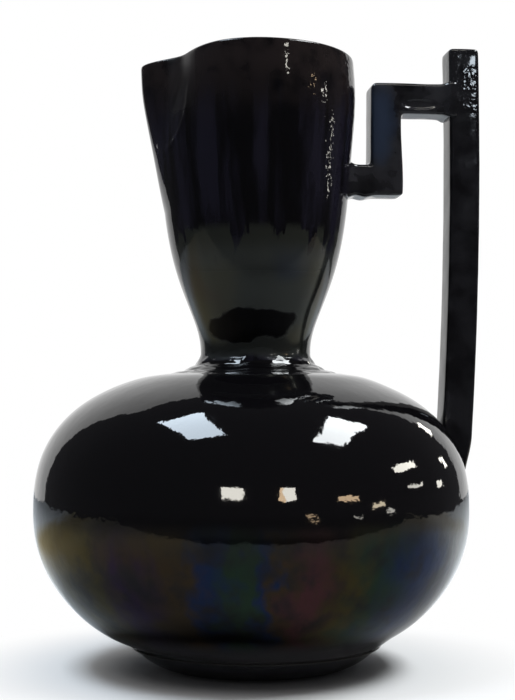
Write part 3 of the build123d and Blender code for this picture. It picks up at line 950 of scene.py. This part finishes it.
class JUG_OT_neck(bpy.types.Operator):
    """Turns the neck, draws its rim out into the beak and presses the cheeks in"""

    bl_idname = "jug.neck"
    bl_label = "Neck and spout"

    def execute(self, context):
        sizes = context.scene.jug_body
        line = neck_line(sizes, NECK_POINTS)
        inside = moved_in(line, sizes.wall)
        lip = sizes.lip
        top = RIM_Z - lip
        outside = line[line[:, 1] < top]
        inside = inside[inside[:, 1] < top]
        bore = sizes.rim_radius - sizes.wall
        profile = np.concatenate([
            outside,
            arc((sizes.rim_radius - lip, top), lip, 4, 90, LIP_POINTS),
            arc((bore + lip, top), lip, 90, 176, LIP_POINTS),
            inside[::-INSIDE_STEP],
            outside[:1],
        ])
        neck = turned("neck_and_spout_glazed", profile, NECK_STEPS)
        reshape(neck, ridged(sizes))
        reshape(neck, beaked(sizes))
        material = neck_glaze(context.scene.jug_glaze)
        finish(neck, material, "black_glaze", "neck", "spout", "spout_lute", angle=60)
        return {"FINISHED"}


class JUG_OT_handle(bpy.types.Operator):
    """Draws out the bent bar and the riser of the handle"""

    bl_idname = "jug.handle"
    bl_label = "Handle"

    def execute(self, context):
        sizes = context.scene.jug_handle
        material = handle_glaze(context.scene.jug_glaze)
        self.hook(sizes, material)
        self.riser(sizes, material)
        return {"FINISHED"}

    def hook(self, sizes, material):
        """Stub, drop bar and bridge as one bent bar with flared ends."""
        left = DROP_LOW.x
        width = BAR_WIDTH
        bridge_z = BRIDGE_TOP_Z - width
        root_x = left - STUB_START
        middle = ((root_x + left) / 2, 0, STUB_Z + width / 2)
        piece = add(bpy.ops.mesh.primitive_cube_add, "handle_hook_glazed",
                    (left - root_x, sizes.depth, width), location=middle)
        select_faces(piece, lambda centre, normal: normal.x > FACING)
        extrude(width, 0)
        select_faces(piece, lambda centre, normal: normal.z > FACING and centre.x > left)
        extrude(0, bridge_z - STUB_Z - width)
        extrude(0, width)
        select_faces(piece, lambda centre, normal: normal.x > FACING and centre.z > bridge_z)
        riser_face = sizes.riser_top_x - sizes.riser_width / 2
        run = sizes.flare_run
        for _ in range(BRIDGE_STEPS):
            extrude((riser_face - run - left - width) / BRIDGE_STEPS, 0)
        self.flare(sizes, run, bridge_z + width / 2, riser_face)
        select_faces(piece, lambda centre, normal: normal.x < -FACING and centre.x < left - MM)
        extrude(STUB_ROOT_X - root_x, 0)
        self.flare(sizes, -run, STUB_Z + width / 2, STUB_ROOT_X)
        select_edges(piece, lambda a, b: abs(a.x - b.x) < NEAR and abs(a.z - b.z) < NEAR
                     and abs(a.x - left) < NEAR and a.z > BRIDGE_TOP_Z - NEAR)
        bpy.ops.mesh.bevel(offset=sizes.outer_corner, segments=CORNER_SEGMENTS, affect="EDGES")
        bpy.ops.object.mode_set(mode="OBJECT")
        self.soften(piece, sizes, HOOK_LEVELS)

        def rule(points):
            x, y, z = points.T
            off = ((x - sizes.dent_x) / sizes.dent_wide) ** 2 + ((z - sizes.dent_z) / sizes.dent_tall) ** 2
            front = 1 - ease(y + sizes.depth / 2, *DENT_DEPTH)
            points[:, 1] += sizes.dent * front * (1 - ease(off, *DENT_EDGE))
            low = 1 - ease(points[:, 2], STUB_Z, bridge_z)
            points[:, 0] += sizes.corner_push * low * ease(points[:, 0], left, left + width)
            under = 1 - ease(points[:, 2], STUB_Z, STUB_Z + DRIP_DEPTH)
            beside = (points[:, 0] - left + DRIP_PLACE) / DRIP_WIDTH
            points[:, 2] -= sizes.slip_drip * under * np.exp(-(beside**2))
            return points

        reshape(piece, rule)
        finish(piece, material, "black_glaze", "handle_stub", "stub_drop_lute", "handle_drop",
               "drop_bridge_lute", "handle_bridge", "stub_neck_lute", "bridge_riser_lute", angle=70)

    def flare(self, sizes, run, height, start):
        """Widens the end of a bar in steps where slip builds up, and sinks it into what it is stuck to."""
        for part, growth in FLARE_STEPS:
            extrude(run * part, 0)
            start += run * part
            grown = 1 + (sizes.flare - 1) * growth
            bpy.ops.transform.resize(value=(1, grown, grown), center_override=(start, 0, height))

    def riser(self, sizes, material):
        """The long upright bar, bowed out a little, with its foot let into the belly."""
        foot_z = RISER_LOW.z
        top_z = RISER_HIGH.z + sizes.riser_lift
        piece = add(bpy.ops.mesh.primitive_plane_add, "handle_riser_glazed",
                    (sizes.riser_width, sizes.depth, 1), location=(0, 0, foot_z))
        for _ in range(RISER_STEPS):
            extrude(0, (top_z - foot_z) / RISER_STEPS)
        bpy.ops.mesh.select_all(action="SELECT")
        bpy.ops.mesh.normals_make_consistent(inside=False)
        bpy.ops.object.mode_set(mode="OBJECT")
        self.soften(piece, sizes, RISER_LEVELS)

        def rule(points):
            part = (points[:, 2] - foot_z) / (top_z - foot_z)
            middle = sizes.riser_foot_x + (sizes.riser_top_x - sizes.riser_foot_x) * part
            tuck = TUCK * (1 - ease(points[:, 2], foot_z, foot_z + TUCK_RUN))
            points[:, 0] += middle + sizes.riser_bow * 4 * part * (1 - part) - tuck
            return points

        reshape(piece, rule)
        finish(piece, material, "black_glaze", "handle_riser", "riser_belly_lute", angle=70)

    def soften(self, piece, sizes, levels):
        """Rounds a bar's edges, divides it finely and leaves the hand's waviness in it."""
        apply_modifier(piece, "BEVEL", width=sizes.rounding, segments=EDGE_SEGMENTS, limit_method="ANGLE",
                       angle_limit=EDGE_ANGLE)
        apply_modifier(piece, "SUBSURF", levels=levels, render_levels=levels)
        texture = bpy.data.textures.new("hand_waviness", "CLOUDS")
        texture.noise_scale = WAVE_SIZE
        texture.noise_depth = 1
        apply_modifier(piece, "DISPLACE", texture=texture, texture_coords="LOCAL", strength=sizes.unevenness,
                       mid_level=0.5)


class JUG_OT_stage(bpy.types.Operator):
    """Sets the floor, the table, the backdrop, the lamps, the room and the camera"""

    bl_idname = "jug.stage"
    bl_label = "Stage"

    def execute(self, context):
        stage = context.scene.jug_stage
        self.ground(stage)
        self.lamps(stage)
        self.room(context.scene, stage)
        self.camera(context.scene, stage)
        context.scene.view_settings.view_transform = "Standard"
        return {"FINISHED"}

    def paint(self, name, tone):
        """A plain matt material for the stage, with its wires and its shader."""
        material, root, shader = fresh_tree(name)
        shader.inputs["Base Color"].default_value = opaque(tone)
        shader.inputs["Roughness"].default_value = 1.0
        shader.inputs["Specular IOR Level"].default_value = 0.0
        return material, root, shader

    def show_white(self, root, shader, seen):
        """Shows plain white in place of a shader, as far as a wire says."""
        white = root.node("ShaderNodeEmission", None, {"Color": opaque(WHITE), "Strength": 1.0})
        lit = Wire(root.tree, shader.outputs[0])
        shown = root.node("ShaderNodeMixShader", None, {0: seen, 1: lit, 2: white})
        root.tree.links.new(shown.socket, root.tree.nodes["Material Output"].inputs["Surface"])

    def panel(self, name, low, high, material, turn=(0, 0, 0)):
        """A rectangle of the stage between two corners, level unless it is turned."""
        middle = [(a + b) / 2 for a, b in zip(low, high)]
        span = [b - a for a, b in zip(low, high)]
        piece = add(bpy.ops.mesh.primitive_plane_add, name, (span[0], span[1] or span[2], 1),
                    location=middle, rotation=turn)
        bpy.ops.object.mode_set(mode="OBJECT")
        piece.data.materials.append(material)
        return piece

    def ground(self, stage):
        """The pale floor, the table as the glaze mirrors it, darkened in front as painted shade, and the white
        backdrop.
        """
        back = stage.backdrop_back
        material, root, shader = self.paint("floor_paint", stage.floor_colour)
        place = Place(root)
        camera = root.node("ShaderNodeLightPath", output="Is Camera Ray")
        self.show_white(root, shader, camera * place.radius.between(*FLOOR_SHADOW))
        floor = self.panel("floor", (-FLOOR_HALF, -FLOOR_HALF, 0), (FLOOR_HALF, FLOOR_HALF, 0), material)
        floor.visible_glossy = False
        # The table that only reflections see is a copy of the floor, darkened in front as painted shade and
        # warmer beside the jug
        material, root, shader = self.paint("table_paint", stage.table_shade)
        place = Place(root)
        tone = place.y.between(*TABLE_PALE_Y).mixed(stage.table_shade, stage.floor_colour)
        left = place.x.between(*LEFT_WARM_X) * (0.45 + place.y.between(*LEFT_WARM_Y) * 0.55)
        right = place.x.between(*RIGHT_WARM_X) * 0.5
        warm = (left + right) * place.y.between(*WARM_END_Y)
        link(warm.mixed(tone, stage.table_sides), shader, "Base Color")
        table = self.panel("table", (-TABLE_HALF, -stage.table_front, TABLE_LIFT),
                           (TABLE_HALF, back, TABLE_LIFT), material)
        table.visible_camera = False
        table.visible_diffuse = False
        table.visible_shadow = False
        material, root, shader = self.paint("backdrop_paper", stage.floor_colour)
        seen = root.node("ShaderNodeLightPath", output="Is Camera Ray")
        for kind in ("Is Glossy Ray", "Is Transmission Ray"):
            seen = seen.math("MAXIMUM", root.node("ShaderNodeLightPath", output=kind))
        self.show_white(root, shader, seen)
        self.panel("backdrop", (-BACKDROP_LEFT * back, back, 0),
                   (BACKDROP_RIGHT * back, back, BACKDROP_TOP * back), material, (math.radians(90), 0, 0))

    def lamp(self, name, place, size, strength, tint, aim=None):
        """A soft rectangular lamp that faces the jug, or straight down."""
        light = bpy.data.lights.new(name, "AREA")
        light.shape = "RECTANGLE"
        light.size = size[0]
        light.size_y = size[1]
        light.energy = strength * size[0] * size[1] * math.pi
        light.color = tint
        lamp = bpy.data.objects.new(name, light)
        bpy.context.scene.collection.objects.link(lamp)
        lamp.location = place
        if aim is not None:
            way = np.subtract(aim, place)
            flat = math.hypot(way[0], way[1])
            lamp.rotation_euler = (math.atan2(flat, -way[2]), 0, math.atan2(-way[0], way[1]))
        lamp.visible_camera = False
        return lamp

    def lamps(self, stage):
        """Two large soft lamps overhead, and small ones that each light only some of the pieces."""
        for name, place, size, strength, tint in SOFTBOXES:
            self.lamp(name, (*place, stage.lamp_height), size, strength, tint)
        for pieces, lamps in SMALL_LAMPS.items():
            name = f"lamp_on_{pieces[0]}"
            alone = bpy.data.collections.new(name)
            for piece in pieces:
                alone.objects.link(bpy.data.objects[piece])
            for settings in lamps:
                self.lamp_at(name, *settings).light_linking.receiver_collection = alone

    def lamp_at(self, name, turn, rise, wide, tall, strength, tint):
        """A lamp as the belly sees it, with its place and size in degrees."""
        turn, rise, wide, tall = (math.radians(angle) for angle in (turn, rise, wide, tall))
        flat = math.cos(rise)
        way = (math.sin(turn) * flat, -math.cos(turn) * flat, math.sin(rise))
        place = [start + LAMP_DISTANCE * step for start, step in zip(LAMP_AIM, way)]
        return self.lamp(name, place, (LAMP_DISTANCE * wide, LAMP_DISTANCE * tall), strength, tint, LAMP_AIM)

    def room(self, scene, stage):
        """White behind everything for the camera, and a dim room for all else."""
        world = bpy.data.worlds.new("room")
        scene.world = world
        world.use_nodes = True
        root = Wire(world.node_tree)
        background = world.node_tree.nodes["Background"]
        seen = root.node("ShaderNodeLightPath", output="Is Camera Ray")
        tone = seen.mixed(stage.room, WHITE)
        world.node_tree.links.new(tone.socket, background.inputs["Color"])
        background.inputs["Strength"].default_value = 1.0

    def camera(self, scene, stage):
        """The camera, level, with its frame shifted up to take the rim in."""
        data = bpy.data.cameras.new("camera")
        camera = bpy.data.objects.new("camera", data)
        scene.collection.objects.link(camera)
        turn = stage.camera_turn
        away = stage.camera_distance
        camera.location = (-away * math.sin(turn), -away * math.cos(turn), stage.camera_height)
        camera.rotation_euler = (math.radians(90), 0, -turn)
        data.sensor_width = SENSOR
        data.lens = LENS
        data.shift_x, data.shift_y = (pixels / PICTURE_TALL for pixels in SHIFT_PIXELS)
        data.clip_start = CLIP_START
        scene.camera = camera


class JUG_PT_panel(bpy.types.Panel):
    """Lists the steps that model the jug"""

    bl_idname = "JUG_PT_panel"
    bl_label = "Jug"
    bl_space_type = "VIEW_3D"
    bl_region_type = "UI"
    bl_category = "Jug"

    def draw(self, context):
        column = self.layout.column()
        for operator in OPERATORS:
            column.operator(operator.bl_idname)


OPERATORS = (JUG_OT_foot, JUG_OT_belly, JUG_OT_neck, JUG_OT_handle, JUG_OT_stage)
SETTINGS = {
    "jug_body": JugBodySizes,
    "jug_handle": JugHandleSizes,
    "jug_glaze": JugGlazeColours,
    "jug_stage": JugStageSettings,
}


def register():
    for kind in (*SETTINGS.values(), *OPERATORS, JUG_PT_panel):
        bpy.utils.register_class(kind)
    for name, kind in SETTINGS.items():
        setattr(bpy.types.Scene, name, bpy.props.PointerProperty(type=kind))


def unregister():
    for name in SETTINGS:
        delattr(bpy.types.Scene, name)
    for kind in (JUG_PT_panel, *reversed(OPERATORS), *reversed(SETTINGS.values())):
        bpy.utils.unregister_class(kind)


def main():
    """Registers the add-on, models every piece and sets the stage."""
    register()
    bpy.ops.jug.foot()
    bpy.ops.jug.belly()
    bpy.ops.jug.neck()
    bpy.ops.jug.handle()
    bpy.ops.jug.stage()


if __name__ == "__main__":
    main()
